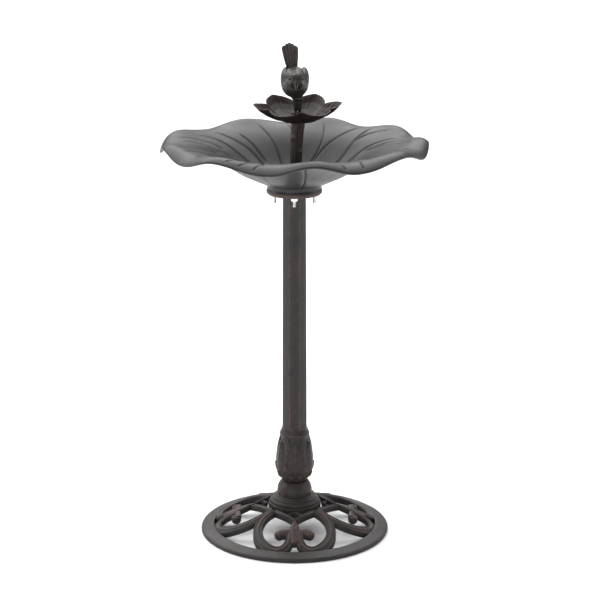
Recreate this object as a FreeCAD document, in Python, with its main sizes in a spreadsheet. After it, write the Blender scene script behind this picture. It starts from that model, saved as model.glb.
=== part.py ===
import FreeCAD, Part
import math
import os
import re

import Sketcher
from FreeCAD import Vector

# Cast-iron bird bath: an open scroll base, a tall column, a lily-leaf bowl and, in the bowl, a stem that
# carries a lotus dish and a bird. Millimetres, +Z up, -Y the front, the origin on the ground under the
# column.

SIZES = {
    # base casting: a ground ring, four scroll hearts that climb to a stepped hub
    "base_radius": 174,
    "ring_inner_radius": 150,
    "ring_edge_height": 5.5,
    "ring_lip_height": 12,
    "scroll_rise": 39.5,
    "scroll_bulge": 6.8,
    "scroll_depth": 10,
    "scroll_bar_width": 16.4,
    "curl_width": 15,
    "curl_bulb_radius": 9,
    "hub_radius": 48.3,
    "hub_step_radius": 43,
    "hub_seat_radius": 36,
    "hub_underside": 38,
    "hub_shoulder_height": 55,
    "hub_step_height": 62,
    "hub_top": 70,
    "hub_tongue_share": 0.6,
    "ring_ridge_width": 5,
    "casting_corner": 2,
    # turned castings above the hub
    "casting_bore_radius": 5.6,
    "collar_radius": 32,
    "collar_shoulder": 81,
    "collar_top": 96,
    "waist_radius": 23,
    "leaf_bulb_radius": 35,
    "leaf_bulb_wide_height": 135,
    "leaf_cup_radius": 27.6,
    "leaf_cup_bottom": 181,
    "leaf_cup_top": 188,
    "leaf_bulb_top": 196,
    "socket_length": 18,
    "casting_wall": 8,
    # column
    "tube_foot_radius": 23.8,
    "tube_top_radius": 22.2,
    "tube_top": 638,
    "tube_wall": 2.4,
    "slip_clearance": 0.3,
    "cap_radius": 50,
    "cap_step": 2.6,
    "cap_thickness": 7,
    "cap_spigot_length": 24,
    "cap_recess_radius": 11,
    "cap_recess_depth": 19,
    # tie rod, M10
    "rod_radius": 5,
    "rod_bottom": 24,
    "rod_top": 641,
    "rod_washer_radius": 10,
    "rod_washer_thickness": 2,
    "rod_nut_flats": 17,
    "rod_nut_height": 8.4,
    # bowl
    "bowl_radius": 239,
    "bowl_wall": 5,
    "bowl_floor_top": 667,
    "bowl_floor_underside": 659.5,
    "neck_radius": 49.8,
    "neck_cavity_radius": 42,
    "boss_radius": 8,
    # bowl bolts, M6
    "bolt_circle_radius": 36,
    "bolt_radius": 3,
    "bolt_hole_radius": 3.4,
    "bolt_end": 621,
    "bolt_head_flats": 10,
    "bolt_head_height": 4,
    "seal_radius": 7,
    "seal_thickness": 1.5,
    "bolt_washer_radius": 6.2,
    "bolt_washer_thickness": 1.4,
    "bolt_nut_height": 5,
    # stem and its screw, M8
    "stem_foot_shift": 2.5,
    "stem_head_shift": 6,
    "stem_foot_radius": 10.7,
    "stem_head_radius": 12.4,
    "stem_top": 767,
    "stem_seal_radius": 11,
    "stem_screw_radius": 4,
    "stem_screw_reach": 30,
    "stem_screw_flats": 13,
    "stem_screw_head": 5.5,
    "stem_washer_radius": 8,
    "stem_washer_thickness": 1.6,
    # lotus dish
    "petal_count": 6,
    "petal_turn": 6,
    "petal_tip_radius": 79,
    "petal_notch_radius": 60,
    "dish_floor_radius": 12,
    "dish_floor_thickness": 4,
    # bird and its stud, M6
    "bird_foot_radius": 7,
    "bird_foot_height": 14,
    "leg_radius": 4.2,
    "body_centre_height": 838,
    "body_shift": 5,
    "body_radius": 24,
    "body_length": 66,
    "body_pitch": 24,
    "head_radius": 15,
    "head_forward": 24,
    "head_lift": 6,
    "beak_length": 13,
    "beak_radius": 4.5,
    "beak_tip_radius": 0.8,
    "tail_root_back": 20,
    "tail_root_lift": 10,
    "tail_reach": 34,
    "tail_tip_height": 898,
    "tail_tip_width": 29,
    "tail_root_width": 22,
    "tail_shoulder_share": 0.86,
    "tail_thickness": 6,
    "stud_radius": 3,
    "stud_length": 40,
}

os.makedirs("parts", exist_ok=True)
doc = FreeCAD.newDocument("BirdBath")
sheet = doc.addObject("Spreadsheet::Sheet", "Sizes")
for row, (alias, value) in enumerate(SIZES.items(), start=1):
    sheet.set(f"A{row}", alias)
    sheet.set(f"B{row}", str(value))
    sheet.setAlias(f"B{row}", alias)
doc.recompute()

AXIS = Vector(0, 0, 1)
nodes = []


def size(alias):
    """The number in a named cell of the sheet."""
    return float(sheet.get(alias))


def formula(text):
    """A formula in cell names, written as an expression that any object can be bound to."""
    return re.sub(r"[a-z]\w*", lambda word: "Sizes." + word.group(), text)


def value_of(text):
    return float(sheet.evalExpression(formula(text)))


def named(feature, label):
    """Makes a feature a piece of the bird bath, which is written to a file of its own."""
    feature.Label = label
    nodes.append(feature)
    return feature


def shaped(label, shape):
    """A piece that has neither a sketch nor a primitive of its own: its shape comes from the code below."""
    feature = doc.addObject("Part::Feature", label)
    feature.Shape = shape
    feature.Placement = FreeCAD.Placement()
    return named(feature, label)


# ---------------------------------------------------------------- bodies made from sketches

def origin_item(body, role):
    return next(item for item in body.Origin.OriginFeatures if item.Role == role)


def outline_sketch(body, name, plane, outline):
    """A closed outline on a plane of the body. Each corner is a pair of formulas, with the radius of the arc
    to the next corner as a third entry where that side is round, bulging to the right of the way round."""
    sketch = body.newObject("Sketcher::SketchObject", name)
    sketch.AttachmentSupport = [(origin_item(body, plane), "")]
    sketch.MapMode = "FlatFace"
    corners = [Vector(value_of(c[0]), value_of(c[1]), 0) for c in outline]
    for i, corner in enumerate(outline):
        start, end = corners[i], corners[(i + 1) % len(corners)]
        if len(corner) == 3:
            chord = end - start
            radius = value_of(corner[2])
            sag = radius - math.sqrt(radius ** 2 - chord.Length ** 2 / 4)
            middle = (start + end) / 2 + Vector(chord.y, -chord.x, 0).normalize() * sag
            sketch.addGeometry(Part.Arc(start, middle, end), False)
        else:
            sketch.addGeometry(Part.LineSegment(start, end), False)
    for i, corner in enumerate(outline):
        # an arc keeps its own sense, so the end that lies on this corner is looked up
        vertex = 1 if sketch.getPoint(i, 1).distanceToPoint(corners[i]) < 1e-6 else 2
        before = (i - 1) % len(outline)
        joined = 1 if sketch.getPoint(before, 1).distanceToPoint(corners[i]) < 1e-6 else 2
        sketch.addConstraint(Sketcher.Constraint("Coincident", before, joined, i, vertex))
        for kind, text in (("DistanceX", corner[0]), ("DistanceY", corner[1])):
            index = sketch.addConstraint(Sketcher.Constraint(kind, -1, 1, i, vertex, value_of(text)))
            sketch.setExpression(f"Constraints[{index}]", formula(text))
        if len(corner) == 3:
            index = sketch.addConstraint(Sketcher.Constraint("Radius", i, value_of(corner[2])))
            sketch.setExpression(f"Constraints[{index}]", formula(corner[2]))
    return sketch


def turned_body(label, outline):
    """A body of revolution about the column's axis, from corners of radius and height."""
    body = doc.addObject("PartDesign::Body", label.title().replace("_", ""))
    sketch = outline_sketch(body, body.Name + "Outline", "XZ_Plane", outline)
    turn = body.newObject("PartDesign::Revolution", body.Name + "Turn")
    turn.Profile = sketch
    turn.ReferenceAxis = (sketch, ["V_Axis"])
    turn.Angle = 360
    body.Tip = turn
    doc.recompute()
    return named(body, label)


def base_collar():
    """A domed knob with a hollow underside, which stands on the hub."""
    hollow = "collar_radius - casting_wall"
    roof = "collar_top - casting_wall"
    turned_body("base_collar", [
        (hollow, "hub_top"),
        ("collar_radius", "hub_top"),
        ("collar_radius", "collar_shoulder", "leaf_bulb_radius / 2"),
        ("waist_radius", "collar_top"),
        ("casting_bore_radius", "collar_top"),
        ("casting_bore_radius", roof),
        ("waist_radius - casting_wall", roof),
        (hollow, "hub_top + casting_wall"),
    ])


def leaf_bulb():
    """The pear-shaped casting with leaves: hollow below, with a cup and a spigot for the column above."""
    spigot = "tube_foot_radius - tube_wall - slip_clearance"
    top = "leaf_bulb_top + socket_length"
    turned_body("leaf_bulb", [
        ("waist_radius - casting_wall", "collar_top"),
        ("waist_radius", "collar_top", "leaf_bulb_radius * 1.3"),
        ("leaf_bulb_radius", "leaf_bulb_wide_height", "leaf_bulb_radius * 4"),
        ("leaf_cup_radius", "leaf_cup_bottom"),
        ("leaf_cup_radius", "leaf_cup_top"),
        ("tube_foot_radius + 1", "leaf_bulb_top"),
        (spigot, "leaf_bulb_top"),
        (spigot, top),
        ("casting_bore_radius", top),
        ("casting_bore_radius", "leaf_cup_bottom"),
        ("waist_radius - casting_wall", "leaf_cup_bottom - casting_wall"),
    ])


def column_tube():
    turned_body("column_tube", [
        ("tube_foot_radius - tube_wall", "leaf_bulb_top"),
        ("tube_foot_radius", "leaf_bulb_top"),
        ("tube_top_radius", "tube_top"),
        ("tube_top_radius - tube_wall", "tube_top"),
    ])


def column_cap():
    """The plate that the bowl is bolted to, with a spigot in the column and a recess for the rod's nut."""
    body = turned_body("column_cap", [
        ("casting_bore_radius", "tube_top - cap_spigot_length"),
        ("tube_top_radius - tube_wall - slip_clearance", "tube_top - cap_spigot_length"),
        ("tube_top_radius - tube_wall - slip_clearance", "tube_top"),
        ("cap_radius - cap_step", "tube_top"),
        ("cap_radius - cap_step", "tube_top + cap_step"),
        ("cap_radius", "tube_top + cap_step"),
        ("cap_radius", "tube_top + cap_thickness"),
        ("cap_recess_radius", "tube_top + cap_thickness"),
        ("cap_recess_radius", "tube_top + cap_thickness - cap_recess_depth"),
        ("casting_bore_radius", "tube_top + cap_thickness - cap_recess_depth"),
    ])
    hole = body.newObject("Sketcher::SketchObject", "CapHole")
    hole.AttachmentSupport = [(origin_item(body, "XY_Plane"), "")]
    hole.MapMode = "FlatFace"
    centre = Vector(0, -size("bolt_circle_radius"), 0)
    hole.addGeometry(Part.Circle(centre, AXIS, size("bolt_hole_radius")), False)
    hole.addConstraint(Sketcher.Constraint("PointOnObject", 0, 3, -2))
    place = hole.addConstraint(Sketcher.Constraint("DistanceY", 0, 3, -1, 1, size("bolt_circle_radius")))
    hole.setExpression(f"Constraints[{place}]", formula("bolt_circle_radius"))
    width = hole.addConstraint(Sketcher.Constraint("Radius", 0, size("bolt_hole_radius")))
    hole.setExpression(f"Constraints[{width}]", formula("bolt_hole_radius"))
    pocket = body.newObject("PartDesign::Pocket", "CapHolePocket")
    pocket.Profile = hole
    pocket.Type = "ThroughAll"
    pocket.Reversed = True
    doc.recompute()
    pattern = body.newObject("PartDesign::PolarPattern", "CapHoles")
    pattern.Originals = [pocket]
    pattern.Axis = (hole, ["N_Axis"])
    pattern.Angle = 360
    pattern.Occurrences = 4
    body.Tip = pattern
    doc.recompute()


# ---------------------------------------------------------------- fasteners, from primitives

def primitive(kind, name, sizes, height, shift="0"):
    """A Part primitive on the column's axis, or shifted in X, with its sizes bound to formulas."""
    feature = doc.addObject(kind, name)
    for prop, text in sizes.items():
        feature.setExpression(prop, formula(text))
    feature.setExpression("Placement.Base.z", formula(height))
    feature.setExpression("Placement.Base.x", formula(shift))
    return feature


def boolean(kind, name, first, second):
    """A Part::Cut or Part::Fuse of two features."""
    feature = doc.addObject(kind, name)
    feature.Base = first
    feature.Tool = second
    return feature


def washer(name, radius, bore, thickness, height, shift="0"):
    disc = primitive("Part::Cylinder", name + "Disc", {"Radius": radius, "Height": thickness}, height, shift)
    hole = primitive("Part::Cylinder", name + "Hole", {"Radius": bore, "Height": thickness}, height, shift)
    return boolean("Part::Cut", name, disc, hole)


def hexagon(name, flats, thickness, height, shift="0"):
    across = f"{flats} / 2 * {2 / math.sqrt(3):.6f}"
    prism = primitive("Part::Prism", name, {"Circumradius": across, "Height": thickness}, height, shift)
    prism.Polygon = 6
    return prism


def nut(name, flats, bore, thickness, height):
    prism = hexagon(name + "Hex", flats, thickness, height)
    hole = primitive("Part::Cylinder", name + "Hole", {"Radius": bore, "Height": thickness}, height)
    return boolean("Part::Cut", name, prism, hole)


def screw(name, radius, length, foot, flats, head, head_foot, shift="0"):
    shank = primitive("Part::Cylinder", name + "Shank", {"Radius": radius, "Height": length}, foot, shift)
    return boolean("Part::Fuse", name, shank, hexagon(name + "Head", flats, head, head_foot, shift))


def four_of(label, master):
    """Four copies of a fastener on the bowl's bolt circle, one of them at the front."""
    doc.recompute()
    copies = []
    for quarter in range(4):
        copy = master.Shape.copy()
        copy.translate(Vector(0, -size("bolt_circle_radius"), 0))
        copy.rotate(Vector(), AXIS, 90 * quarter)
        copies.append(copy)
    shaped(label, Part.makeCompound(copies))


def tie_rod():
    """The rod that pulls the base, collar, leaf bulb, tube and cap together, with its washers and nuts."""
    length = "rod_top - rod_bottom"
    rod = primitive("Part::Cylinder", "TieRod", {"Radius": "rod_radius", "Height": length}, "rod_bottom")
    named(rod, "tie_rod")
    bore = "rod_radius + slip_clearance"
    foot_washer = "hub_underside - rod_washer_thickness"
    cap_washer = "tube_top + cap_thickness - cap_recess_depth"
    named(washer("RodFootWasher", "rod_washer_radius * 1.6", bore, "rod_washer_thickness", foot_washer),
          "tie_rod_foot_washer")
    named(nut("RodFootNut", "rod_nut_flats", "rod_radius", "rod_nut_height",
              foot_washer + " - rod_nut_height"), "tie_rod_foot_nut")
    named(washer("RodCapWasher", "rod_washer_radius", bore, "rod_washer_thickness", cap_washer),
          "tie_rod_cap_washer")
    named(nut("RodCapNut", "rod_nut_flats", "rod_radius", "rod_nut_height",
              cap_washer + " + rod_washer_thickness"), "tie_rod_cap_nut")


def bowl_fasteners():
    """Four bolts down through the bowl's floor and the cap, sealed above and nutted below."""
    head = "bowl_floor_top + seal_thickness"
    four_of("bowl_bolts", screw("BowlBolt", "bolt_radius", head + " - bolt_end", "bolt_end",
                                "bolt_head_flats", "bolt_head_height", head))
    four_of("bowl_bolt_seals", washer("BowlSeal", "seal_radius", "bolt_radius", "seal_thickness",
                                      "bowl_floor_top"))
    under = "tube_top - bolt_washer_thickness"
    four_of("bowl_bolt_washers", washer("BowlWasher", "bolt_washer_radius", "bolt_radius + slip_clearance",
                                        "bolt_washer_thickness", under))
    four_of("bowl_nuts", nut("BowlNut", "bolt_head_flats", "bolt_radius", "bolt_nut_height",
                             under + " - bolt_nut_height"))


def stem_fasteners():
    """The screw that comes up through the bowl's floor into the stem, its washer and the stem's seal."""
    washer_foot = "bowl_floor_underside - stem_washer_thickness"
    bore = "stem_screw_radius + slip_clearance"
    named(screw("StemScrew", "stem_screw_radius", "bowl_floor_top + stem_screw_reach - bowl_floor_underside"
                " + stem_washer_thickness", washer_foot, "stem_screw_flats", "stem_screw_head",
                washer_foot + " - stem_screw_head", "stem_foot_shift"), "stem_screw")
    named(washer("StemWasher", "stem_washer_radius", bore, "stem_washer_thickness", washer_foot,
                 "stem_foot_shift"), "stem_washer")
    named(washer("StemSeal", "stem_seal_radius", "stem_screw_radius", "seal_thickness", "bowl_floor_top",
                 "stem_foot_shift"), "stem_seal")


def bird_stud():
    """A stud that ties the bird's foot through the dish to the top of the stem."""
    stud = primitive("Part::Cylinder", "BirdStud", {"Radius": "stud_radius", "Height": "stud_length"},
                     "stem_top + dish_floor_thickness / 2 - stud_length / 2", "stem_head_shift")
    named(stud, "bird_stud")


# ---------------------------------------------------------------- base casting

# Centre line of one side of a scroll heart, seen from above as (across, outwards) about the heart's axis: it
# leaves the hub, swings round the loop beside the ring and comes back up the middle.
LOOP_ARCS = (
    ((38, 43), (54, 58), (64, 76)),
    ((64, 76), (67, 96), (62.5, 117)),
    ((62.5, 117), (51, 134.5), (33, 144)),
    ((33, 144), (18, 140.5), (10, 127)),
)
LOOP_END = (8.5, 110)
CURL_ARCS = (
    ((7, 107.6), (13, 107.2), (19, 107)),
    ((19, 107), (23.5, 107.3), (27.6, 108)),
)
BUD_SIDE = ((0, 81), (6, 93), (10, 108))
BUD_END = 131
# The tongue between the hub and the bud is pierced: a kite at its tip and a hole on each side against the hub
TONGUE_TIP = 83.5
TONGUE_SHOULDER = (41, 48)
KITE_HOLE = ((0, 73.5), (12, 62), (0, 54), (-12, 62))
SIDE_HOLE = ((7, 44), (7.5, 52), (15.5, 58), (26, 48.5), (22, 40))


def flat(point, side=1):
    return Vector(side * point[0], -point[1], 0)


def arcs(triples, side):
    return [Part.Arc(*(flat(p, side) for p in triple)).toShape() for triple in triples]


def bar(edges, width):
    """A flat bar of even width with round ends along a centre line."""
    return Part.Face(Part.Wire(edges).makeOffset2D(width / 2, 0, False, False))


def polygon(corners, side=1):
    points = [flat(corner, side) for corner in corners]
    return Part.Face(Part.makePolygon(points + points[:1]))


def heart_plan():
    """The faces that make up one heart, seen from above: two loops with their curls, a tongue and a bud."""
    faces = []
    for side in (1, -1):
        loop = arcs(LOOP_ARCS, side)
        loop.append(Part.LineSegment(flat(LOOP_ARCS[-1][2], side), flat(LOOP_END, side)).toShape())
        faces.append(bar(loop, size("scroll_bar_width")))
        faces.append(bar(arcs(CURL_ARCS, side), size("curl_width")))
        bulb = Part.Circle(flat(CURL_ARCS[-1][2], side), AXIS, size("curl_bulb_radius"))
        faces.append(Part.Face(Part.Wire([bulb.toShape()])))
    root = size("hub_radius") * size("hub_tongue_share")
    tongue = polygon([(0, TONGUE_TIP), TONGUE_SHOULDER, (root, root), (-root, root),
                      (-TONGUE_SHOULDER[0], TONGUE_SHOULDER[1])])
    for hole in (polygon(KITE_HOLE), polygon(SIDE_HOLE), polygon(SIDE_HOLE, -1)):
        tongue = tongue.cut(hole)
    faces += tongue.Faces
    bud = arcs([BUD_SIDE], 1) + arcs([BUD_SIDE], -1)
    foot = [flat((BUD_SIDE[2][0], BUD_SIDE[2][1])), flat((BUD_SIDE[2][0], BUD_END)),
            flat((BUD_SIDE[2][0], BUD_END), -1), flat((BUD_SIDE[2][0], BUD_SIDE[2][1]), -1)]
    bud.append(Part.makePolygon(foot))
    faces.append(Part.Face(Part.Wire([edge for part in bud for edge in part.Edges])))
    return faces


def turned(corners):
    """A solid of revolution about the axis, from corners of radius and height."""
    points = [Vector(radius, 0, height) for radius, height in corners]
    return Part.Face(Part.makePolygon(points + points[:1])).revolve(Vector(), AXIS, 360)


def base_casting():
    outer, inner = size("base_radius"), size("ring_inner_radius")
    edge, lip = size("ring_edge_height"), size("ring_lip_height")
    rise, bulge, depth = size("scroll_rise"), size("scroll_bulge"), size("scroll_depth")
    hub, seat = size("hub_radius"), size("hub_seat_radius")
    step, shoulder, ledge = size("hub_step_radius"), size("hub_shoulder_height"), size("hub_step_height")
    foot, top, bore = size("hub_underside"), size("hub_top"), size("casting_bore_radius")
    ridge, corner = size("ring_ridge_width"), size("casting_corner")
    # the scrolls lie between two domes that climb from the ring's lip to the hub
    crown = Part.Circle(Vector(inner, 0, lip), Vector((inner + hub) / 2, 0, lip + rise / 2 + bulge),
                        Vector(hub, 0, lip + rise))

    def on_dome(radius, drop):
        reach = radius - crown.Center.x
        return Vector(radius, 0, crown.Center.z + math.sqrt(crown.Radius ** 2 - reach ** 2) - drop)

    stops = (seat, (seat + inner) / 2, inner + corner)
    above, below = [[on_dome(radius, drop) for radius in stops] for drop in (0, depth)]
    sides = [Part.LineSegment(above[2], below[2]), Part.LineSegment(below[0], above[0])]
    edges = [Part.Arc(*above), sides[0], Part.Arc(*reversed(below)), sides[1]]
    band = Part.Face(Part.Wire([edge.toShape() for edge in edges])).revolve(Vector(), AXIS, 360)
    plan = heart_plan()
    scrolls = []
    for quarter in range(4):
        for face in plan:
            bar_solid = face.extrude(AXIS * top)
            bar_solid.rotate(Vector(), AXIS, 90 * quarter)
            scrolls.append(bar_solid)
    pattern = scrolls[0].multiFuse(scrolls[1:]).common(band)
    ring = turned([(inner, 0), (outer, 0), (outer, edge), (outer - corner, edge + corner),
                   (inner + ridge, lip), (inner, lip)])
    stepped = turned([(bore, foot), (hub - corner, foot), (hub, foot + corner), (hub, shoulder - corner),
                      (hub - corner, shoulder), (step, shoulder), (step, ledge - corner),
                      (step - corner, ledge), (seat, ledge), (seat, top), (bore, top)])
    shaped("base_casting", ring.multiFuse([stepped, pattern]).removeSplitter())


# ---------------------------------------------------------------- lofted castings

COLUMNS = 90
# Angles in degrees of the bowl's crests and the troughs between them, in turn: from the front, round by +X
LOBE_TURNS = (8, 27, 53, 72, 90, 108, 125, 145, 163, 181, 205, 227, 250, 272, 286, 306, 325, 349)


def closed_ring(place):
    """A closed smooth curve through the places that a function of the angle gives."""
    angles = [2 * math.pi * i / COLUMNS for i in range(COLUMNS)]
    curve = Part.BSplineCurve()
    curve.interpolate(Points=[place(a) for a in angles], PeriodicFlag=True,
                      Parameters=[float(i) for i in range(COLUMNS + 1)])
    return Part.Wire([curve.toShape()])


def lofted(rings):
    return Part.makeLoft([closed_ring(ring) for ring in rings], True, True)


def lobe_wave(angle):
    """+1 on the crest of each lobe of the rim and -1 in the troughs; the angle runs from +X."""
    turn = (math.degrees(angle) + 90 - LOBE_TURNS[0]) % 360 + LOBE_TURNS[0]
    stops = LOBE_TURNS + (LOBE_TURNS[0] + 360,)
    place = max(i for i in range(len(LOBE_TURNS)) if stops[i] <= turn)
    share = (turn - stops[place]) / (stops[place + 1] - stops[place])
    return math.cos(math.pi * (place + share))


# The leaf's upper surface from the neck to the crest: radius, height over the neck's foot, rise of the lobes
LEAF_TOP = ((64, 24.5, 0), (90, 35, 0), (120, 52, 0), (150, 68, 0.3), (180, 80, 1), (205, 87, 2.8),
            (222, 88.5, 5))
LEAF_LIP_HEIGHT = 79.5
LEAF_LIP_RISE = 7.5
LEAF_DROP = 3.5
# The neck's outline from its foot to where the leaf's underside leaves it: narrowing, height
NECK_OUTLINE = ((0, 0), (1.1, 5), (0, 10.6))
UNDER_NECK = ((68, 18), (91, 28.7))


def bowl_ring(radius, height, wave):
    return lambda a: Vector(radius * math.cos(a), radius * math.sin(a), height + wave * lobe_wave(a))


def bowl():
    """The lily-leaf bowl: out under the leaf, over the drooping lip and back across the inside."""
    rim, neck, wall = size("bowl_radius"), size("neck_radius"), size("bowl_wall")
    foot = size("tube_top") + size("cap_thickness")
    path = [(neck - waist, height, 0) for waist, height in NECK_OUTLINE]
    path += [(radius, height, 0) for radius, height in UNDER_NECK]
    path += [(radius + wall / 2, height - wall, rise) for radius, height, rise in LEAF_TOP[2:]]
    path.append((rim - wall / 2, LEAF_LIP_HEIGHT - LEAF_DROP, LEAF_LIP_RISE))
    path.append((rim, LEAF_LIP_HEIGHT, LEAF_LIP_RISE))
    path += list(reversed(LEAF_TOP)) + [(neck, size("bowl_floor_top") - foot, 0)]
    leaf = lofted([bowl_ring(radius, foot + height, rise) for radius, height, rise in path])
    ceiling = size("bowl_floor_underside") - foot
    through = size("bowl_floor_top") - foot + wall
    cavity = Part.makeCylinder(size("neck_cavity_radius"), ceiling, AXIS * foot)
    screw_radius = size("stem_screw_radius") + size("slip_clearance")
    holes = [Part.makeCylinder(screw_radius, through, Vector(size("stem_foot_shift"), 0, foot))]
    for quarter in range(4):
        centre = Vector(size("bolt_circle_radius"), 0, foot)
        boss = Part.makeCylinder(size("boss_radius"), ceiling, centre)
        hole = Part.makeCylinder(size("bolt_hole_radius"), through, centre)
        for tool in (boss, hole):
            tool.rotate(Vector(), AXIS, 90 * quarter)
        cavity = cavity.cut(boss)
        holes.append(hole)
    shaped("bowl", leaf.cut(cavity).cut(Part.makeCompound(holes)))


# Girth of the stem at shares of its height, as a part of the way from the foot's radius to the head's
STEM_GIRTH = ((0, 0), (0.12, -0.15), (0.5, 0.15), (0.85, 0.5), (1, 1))


def stem():
    """The leaning stem, with a hole for the screw below and one for the bird's stud above."""
    foot, top = size("bowl_floor_top") + size("seal_thickness"), size("stem_top")
    low, high = size("stem_foot_radius"), size("stem_head_radius")
    start, end = size("stem_foot_shift"), size("stem_head_shift")
    rings = []
    for share, girth in STEM_GIRTH:
        centre = Vector(start + share * (end - start), 0, foot + share * (top - foot))
        rings.append(Part.Wire([Part.makeCircle(low + girth * (high - low), centre, AXIS)]))
    body = Part.makeLoft(rings, True, False)
    screw_hole = Part.makeCylinder(size("stem_screw_radius"), size("stem_screw_reach"),
                                   Vector(start, 0, size("bowl_floor_top")))
    stud_foot = top + size("dish_floor_thickness") / 2 - size("stud_length") / 2
    stud_hole = Part.makeCylinder(size("stud_radius"), size("stud_length"), Vector(end, 0, stud_foot))
    shaped("stem", body.cut(screw_hole).cut(stud_hole))


def petal_shape(angle):
    """1 at the tip of a petal and 0 in the notch between two."""
    turn = angle - math.radians(size("petal_turn"))
    return ((1 + math.cos(size("petal_count") * turn)) / 2) ** PETAL_FULLNESS


def dish_ring(share, height, lift, droop):
    """A ring of the dish: its share of the way to the petals' edge, height, lift of the tips and droop of
    the petals in front, half of which is a lift for those behind."""
    floor, notch, tip = size("dish_floor_radius"), size("petal_notch_radius"), size("petal_tip_radius")
    shift = size("stem_head_shift")

    def place(angle):
        petal = petal_shape(angle)
        reach = floor + share * (notch + (tip - notch) * petal - floor)
        front, behind = max(0.0, -math.sin(angle)), max(0.0, math.sin(angle))
        z = height + (lift + droop * (behind / 2 - front)) * petal
        return Vector(shift + reach * math.cos(angle), reach * math.sin(angle), z)

    return place


PETAL_FULLNESS = 0.7
# The dish's underside: share of the reach, height over the stem, lift at the petals' middle, droop in front
DISH_UNDER = ((0, 0, 0, 0), (0.3, 1.5, 0, 0), (0.5, 5, 0.5, 0.5), (0.7, 11, 1.5, 2), (0.86, 17, 4, 6),
              (1, 24, 9, 14))
DISH_EDGE_SHARE = 0.985
DISH_THINNING = 0.35


def lotus_dish():
    """The six-petalled dish: out under the petals, over their edge and back across the inside."""
    base, thick = size("stem_top"), size("dish_floor_thickness")
    inside = [(share * DISH_EDGE_SHARE, height + thick * (1 - DISH_THINNING * share), lift, droop)
              for share, height, lift, droop in reversed(DISH_UNDER)]
    rings = [dish_ring(share, base + height, lift, droop)
             for share, height, lift, droop in (*DISH_UNDER, *inside)]
    hole = Part.makeCylinder(size("stud_radius"), 3 * thick, Vector(size("stem_head_shift"), 0, base - thick))
    shaped("lotus_dish", lofted(rings).cut(hole))


# ---------------------------------------------------------------- bird

# The way the beak points: to the front and a little down
BEAK_AIM = Vector(0, -1, -0.35)


def bird_trunk(centre):
    """An egg-shaped body along the bird's length, with its front end down."""
    radius = size("body_radius")
    stretch = FreeCAD.Matrix()
    stretch.scale(1, size("body_length") / 2 / radius, 1)
    stretch.rotateX(math.radians(size("body_pitch")))
    stretch.move(centre)
    return Part.makeSphere(radius).transformGeometry(stretch)


def bird_tail(foot, tip):
    """A flat fan of feathers with a pointed end, from the rump up to its tip."""
    root, wide = size("tail_root_width") / 2, size("tail_tip_width") / 2
    along = tip - foot
    shoulder = foot + along * size("tail_shoulder_share")
    corners = [foot - Vector(root, 0, 0), shoulder - Vector(wide, 0, 0), tip, shoulder + Vector(wide, 0, 0),
               foot + Vector(root, 0, 0)]
    thickness = along.cross(Vector(1, 0, 0)).normalize() * size("tail_thickness")
    return Part.Face(Part.makePolygon(corners + corners[:1])).extrude(thickness)


def bird():
    """A small bird that bows to the front with its tail up, on two short legs that grow from one foot."""
    shift, middle, head = size("stem_head_shift"), size("body_centre_height"), size("head_radius")
    foot = size("stem_top") + size("dish_floor_thickness")
    centre = Vector(shift - size("body_shift"), 0, middle)
    skull_at = centre + Vector(0, -size("head_forward"), size("head_lift"))
    skull = Part.makeSphere(head, skull_at)
    beak_root = skull_at - Vector(0, head - size("head_lift"), 0)
    beak = Part.makeCone(size("beak_radius"), size("beak_tip_radius"), size("beak_length"),
                         beak_root, BEAK_AIM)
    tail = bird_tail(centre + Vector(0, size("tail_root_back"), size("tail_root_lift")),
                     Vector(centre.x - size("body_shift"), size("tail_reach"), size("tail_tip_height")))
    boss = Part.makeCylinder(size("bird_foot_radius"), size("bird_foot_height"), Vector(shift, 0, foot))
    leg = size("leg_radius")
    start = Vector(shift, 0, foot + leg)
    legs = []
    for side in (-1, 1):
        aside = Vector(side * leg, 0, 0)
        lean = centre + aside - start
        legs.append(Part.makeCylinder(leg, lean.Length, start + aside, lean))
    hole_height = (size("stud_length") - size("dish_floor_thickness")) / 2
    hole = Part.makeCylinder(size("stud_radius"), hole_height, Vector(shift, 0, foot))
    shaped("bird", bird_trunk(centre).multiFuse([skull, beak, tail, boss] + legs).cut(hole))


# ---------------------------------------------------------------- the assembly

base_casting()
base_collar()
leaf_bulb()
column_tube()
column_cap()
tie_rod()
bowl()
bowl_fasteners()
stem()
stem_fasteners()
lotus_dish()
bird()
bird_stud()
doc.recompute()

faults = [item.Label for item in doc.Objects if {"Invalid", "Error"} & set(item.State)]
for node in nodes:
    if node.Shape.isNull() or not node.Shape.isValid() or not node.Shape.Solids:
        faults.append(node.Label)
if faults:
    raise SystemExit("objects that failed: " + ", ".join(faults))
for node in nodes:
    node.Shape.exportStep(f"parts/{node.Label}.step")
    box = node.Shape.BoundBox
    print(f"{node.Label}: {len(node.Shape.Solids)} solid(s), {node.Shape.Volume / 1000:.1f} cm3, "
          f"z {box.ZMin:.1f} to {box.ZMax:.1f}")
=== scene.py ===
import math
from collections import namedtuple

import bmesh
import bpy
import numpy as np
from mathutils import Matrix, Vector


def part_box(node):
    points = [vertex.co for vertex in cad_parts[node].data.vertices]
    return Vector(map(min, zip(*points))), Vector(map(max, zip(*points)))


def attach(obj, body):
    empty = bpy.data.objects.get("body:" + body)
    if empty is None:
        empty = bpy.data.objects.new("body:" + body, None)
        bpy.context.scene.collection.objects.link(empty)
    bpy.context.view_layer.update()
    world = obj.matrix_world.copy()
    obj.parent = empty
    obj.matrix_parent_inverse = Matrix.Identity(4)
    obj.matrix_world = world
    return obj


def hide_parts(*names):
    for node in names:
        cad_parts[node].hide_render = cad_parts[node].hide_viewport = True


# Looks of the cast bird bath. Shapes are worked out in millimetres, in the frame of the CAD model (+Z up,
# -Y the front), and become metres where a mesh is made.

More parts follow.
